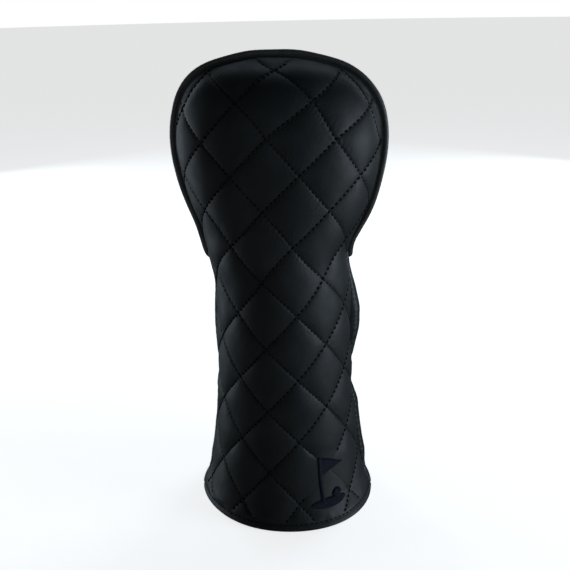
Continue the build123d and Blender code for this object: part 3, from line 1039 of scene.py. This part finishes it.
def on_leather(a, b, lift):
    """The emblem's point a to the right and b up, on the leather and raised by lift."""
    start = EMBLEM_RIGHT * a + EMBLEM_OUT * 120 + np.array([0, 0, EMBLEM_LOW + b])
    hit = EMBLEM_TREE.ray_cast(Vector(start), Vector(-EMBLEM_OUT))[0]
    return np.array(hit) + EMBLEM_OUT * lift


def satin(ends, lift=0.42, crown=0.25):
    """Threads laid side by side, each between a pair of points of the emblem."""
    shares = np.linspace(0, 1, 7)
    heights = lift - 0.5 + (0.5 + crown) * np.sin(np.pi * shares) ** 0.5
    parts = []
    for (a0, b0), (a1, b1) in ends:
        path = zip(a0 + (a1 - a0) * shares, b0 + (b1 - b0) * shares, heights)
        line = np.array([on_leather(a, b, height) for a, b, height in path])
        parts.append(rounded_stroke(line, EMBLEM_OUT, THREAD * 1.25, THREAD, sides=6))
    return parts


def hole_threads():
    for a in np.arange(-HOLE_W / 2 + 0.3, HOLE_W / 2 - 0.2, THREAD):
        half = HOLE_H / 2 * math.sqrt(max(0.0, 1 - (2 * a / HOLE_W) ** 2))
        if half > 0.25:
            yield (a - 0.3, HOLE_H / 2 - half), (a + 0.3, HOLE_H / 2 + half)


def ball_threads():
    for a in np.arange(-BALL_R + 0.2, BALL_R, THREAD):
        half = math.sqrt(max(0.0, BALL_R**2 - a**2))
        yield (BALL_X + a - 0.2, BALL_Z - half), (BALL_X + a + 0.2, BALL_Z + half)


def pole_threads():
    for b in np.arange(HOLE_H / 2, EMBLEM_HEIGHT - 0.2, THREAD):
        yield (POLE_X - POLE_W / 2, b - 0.25), (POLE_X + POLE_W / 2, b + 0.25)


def pennant_threads():
    for a in np.arange(0.9, PENNANT_W - 0.6, THREAD):
        half = PENNANT_H / 2 * (1 - a / PENNANT_W)
        middle = EMBLEM_HEIGHT - PENNANT_H / 2 + 0.5 * math.sin(a / PENNANT_W * 5.0)
        yield (POLE_X + a, middle - half), (POLE_X + a + 0.5, middle + half)


flag_parts = satin(hole_threads()) + satin(ball_threads(), lift=0.75, crown=0.5)
flag_parts += satin(pole_threads(), lift=0.6, crown=0.35) + satin(pennant_threads())
embroidery = joined("embroidered_flag", flag_parts, NAVY_THREAD)
piece(embroidery, "navy_thread", "emblem_embroidery")


# ---------------------------------------------------------------- floor, light and camera
FLOOR_RADII = [120.0, 300.0, 900.0, 3000.0, 9000.0]
FLOOR_SIDES = 96


def floor_disc():
    """A pale disc that glows a little, so that the shadow on it stays faint."""
    turns = np.linspace(0, 2 * np.pi, FLOOR_SIDES, endpoint=False)
    verts = [(0.0, 0.0, 0.0)]
    verts += [(r * math.cos(t), r * math.sin(t), 0.0) for r in FLOOR_RADII for t in turns]
    rings = 1 + np.arange(len(FLOOR_RADII) * FLOOR_SIDES).reshape(-1, FLOOR_SIDES)
    rings = np.hstack([rings, rings[:, :1]])
    faces = [(0, int(a), int(b)) for a, b in zip(rings[0], rings[0, 1:])]
    faces += [face[::-1] for face in grid_faces(rings)]
    look = Look("pale_floor")
    look.colour(look.noise(40.0, 4.0), 0.3, (0.86, 0.86, 0.86), 0.7, (0.9, 0.9, 0.9))
    set_inputs(look.shader, {"Roughness": 0.9, "Specular IOR Level": 0.1})
    set_inputs(look.shader, {"Emission Color": (1, 1, 1, 1), "Emission Strength": 0.75})
    return make_object("floor", verts, faces, look.material)


floor = floor_disc()
floor.visible_glossy = False

LIGHT_TARGET = Vector((0.0, 0.0, 0.17))
LIGHT_COLOUR = (0.77, 0.90, 1.0)


def area_light(name, place, size, power):
    data = bpy.data.lights.new(name, "AREA")
    data.shape = "RECTANGLE"
    data.size, data.size_y = size
    data.energy = power
    data.color = LIGHT_COLOUR
    light = bpy.data.objects.new(name, data)
    bpy.context.scene.collection.objects.link(light)
    light.location = place
    light.rotation_euler = (LIGHT_TARGET - Vector(place)).to_track_quat("-Z", "Y").to_euler()
    light.visible_camera = False


area_light("key_right", (1.15, -0.32, 0.13), (0.6, 0.7), 10.5)
area_light("fill_left", (-1.10, 0.34, 0.06), (0.5, 0.7), 3.8)
area_light("top_back", (0.1, 0.65, 1.15), (1.0, 0.5), 1.5)
area_light("rear_right", (0.7, 1.0, 0.5), (0.6, 0.8), 4.0)
area_light("rear_left", (-0.75, 0.95, 0.5), (0.6, 0.8), 3.4)


def background(nodes, colour, strength):
    node = nodes.new("ShaderNodeBackground")
    set_inputs(node, {"Color": colour, "Strength": strength})
    return node.outputs["Background"]


def studio_world():
    """White behind the cover, and a dim cool room all round it."""
    world = bpy.data.worlds.new("studio")
    world.use_nodes = True
    nodes, links = world.node_tree.nodes, world.node_tree.links
    nodes.clear()
    mix = nodes.new("ShaderNodeMixShader")
    camera_ray = nodes.new("ShaderNodeLightPath").outputs["Is Camera Ray"]
    links.new(camera_ray, mix.inputs["Fac"])
    links.new(background(nodes, (0.7, 0.88, 1.0, 1), 0.025), mix.inputs[1])
    links.new(background(nodes, (1, 1, 1, 1), 1.0), mix.inputs[2])
    links.new(mix.outputs["Shader"], nodes.new("ShaderNodeOutputWorld").inputs["Surface"])
    return world


bpy.context.scene.world = studio_world()

CAMERA_TARGET = np.array([0.0012, 0.0, 0.1635])
CAMERA_DISTANCE = 0.600
CAMERA_LENS = 52.45
ELEVATION, AZIMUTH, TILT = (math.radians(v) for v in (19.87, 2.08, -1.17))


def place_camera():
    """The camera looks at its target from its azimuth and elevation, turned a little by its tilt."""
    level = math.cos(ELEVATION)
    back = np.array([math.sin(AZIMUTH) * level, -math.cos(AZIMUTH) * level, math.sin(ELEVATION)])
    level_right = np.array([math.cos(AZIMUTH), math.sin(AZIMUTH), 0.0])
    level_up = np.cross(back, level_right)
    right = level_right * math.cos(TILT) + level_up * math.sin(TILT)
    upward = level_up * math.cos(TILT) - level_right * math.sin(TILT)
    data = bpy.data.cameras.new("camera")
    data.sensor_width = 36.0
    data.lens = CAMERA_LENS
    data.clip_start = 0.02
    camera = bpy.data.objects.new("camera", data)
    bpy.context.scene.collection.objects.link(camera)
    turn = Matrix(np.stack([right, upward, back], axis=1).tolist()).to_4x4()
    camera.matrix_world = Matrix.Translation(Vector(CAMERA_TARGET + back * CAMERA_DISTANCE)) @ turn
    bpy.context.scene.camera = camera


place_camera()
bpy.context.scene.view_settings.view_transform = "Standard"
bpy.context.scene.view_settings.look = "None"
